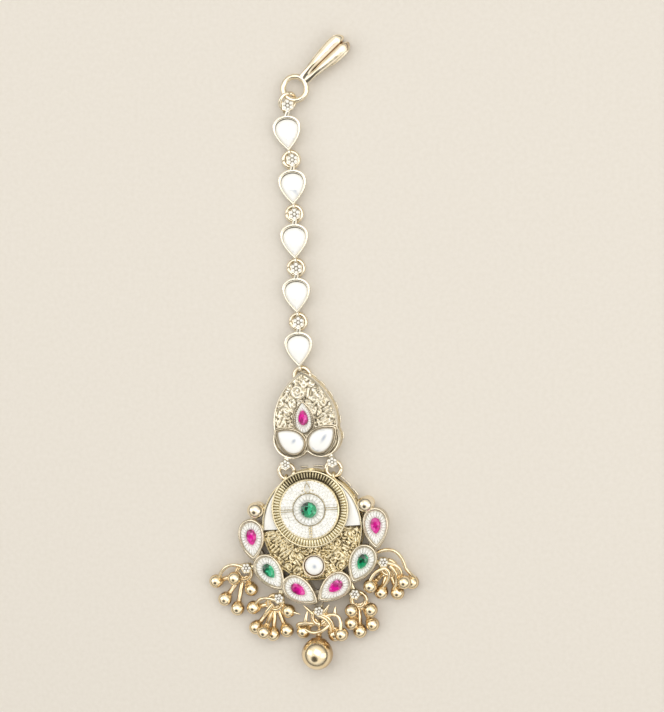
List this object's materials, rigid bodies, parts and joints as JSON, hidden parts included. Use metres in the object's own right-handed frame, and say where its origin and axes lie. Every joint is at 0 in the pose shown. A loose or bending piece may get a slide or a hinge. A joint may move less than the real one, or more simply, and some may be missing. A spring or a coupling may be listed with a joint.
{
  "type": "maang tikka",
  "caption": "Hair ornament with a hair hook, a chain of pear-set white stones, a leaf-shaped motif and a round jewelled pendant fringed with gold beads.",
  "frame": {"origin": "the middle of the ornament's footprint, on the surface that it lies on", "axes": "+Y from the pendant towards the hair hook, +X to the right seen from the front, +Z out of the front face"},
  "size_m": [0.0466, 0.1394, 0.007],
  "materials": {
    "antique_gold": "cast, pale antique gold plating with dark recesses, satin",
    "polished_gold": "polished warm gold plating",
    "kundan_glass": "foil-backed milky white glass, polished",
    "magenta_glass": "foil-backed magenta glass, cut and polished",
    "green_glass": "foil-backed emerald green glass, cut and polished"
  },
  "bodies": {
    "root": {"hair_hook": "polished_gold", "chain_ring_1": "polished_gold", "chain_link_5": "antique_gold", "chain_stone_5": "kundan_glass", "chain_ring_5": "polished_gold", "chain_link_4": "antique_gold", "chain_stone_4": "kundan_glass", "chain_ring_4": "polished_gold", "chain_link_3": "antique_gold", "chain_stone_3": "kundan_glass", "chain_ring_3": "polished_gold", "chain_link_2": "antique_gold", "chain_stone_2": "kundan_glass", "chain_ring_2": "polished_gold", "chain_link_1": "antique_gold", "chain_stone_1": "kundan_glass", "motif_body": "antique_gold", "motif_stone_left": "kundan_glass", "motif_stone_right": "kundan_glass", "motif_centre_gem": "magenta_glass", "motif_ring": "polished_gold", "connector_ring_left": "polished_gold", "connector_ring_right": "polished_gold", "pendant_body": "antique_gold", "crescent_stone_left": "kundan_glass", "crescent_stone_right": "kundan_glass", "disc_centre_gem": "green_glass", "round_stone": "kundan_glass", "petal_gem_1": "magenta_glass", "petal_gem_2": "green_glass", "petal_gem_3": "magenta_glass", "petal_gem_4": "magenta_glass", "petal_gem_5": "green_glass", "petal_gem_6": "magenta_glass", "bead_cluster_1": "polished_gold", "bead_cluster_2": "polished_gold", "bead_cluster_3": "polished_gold", "bead_cluster_4": "polished_gold", "bead_cluster_5": "polished_gold", "drop_ball": "polished_gold"}
  },
  "joints": []
}
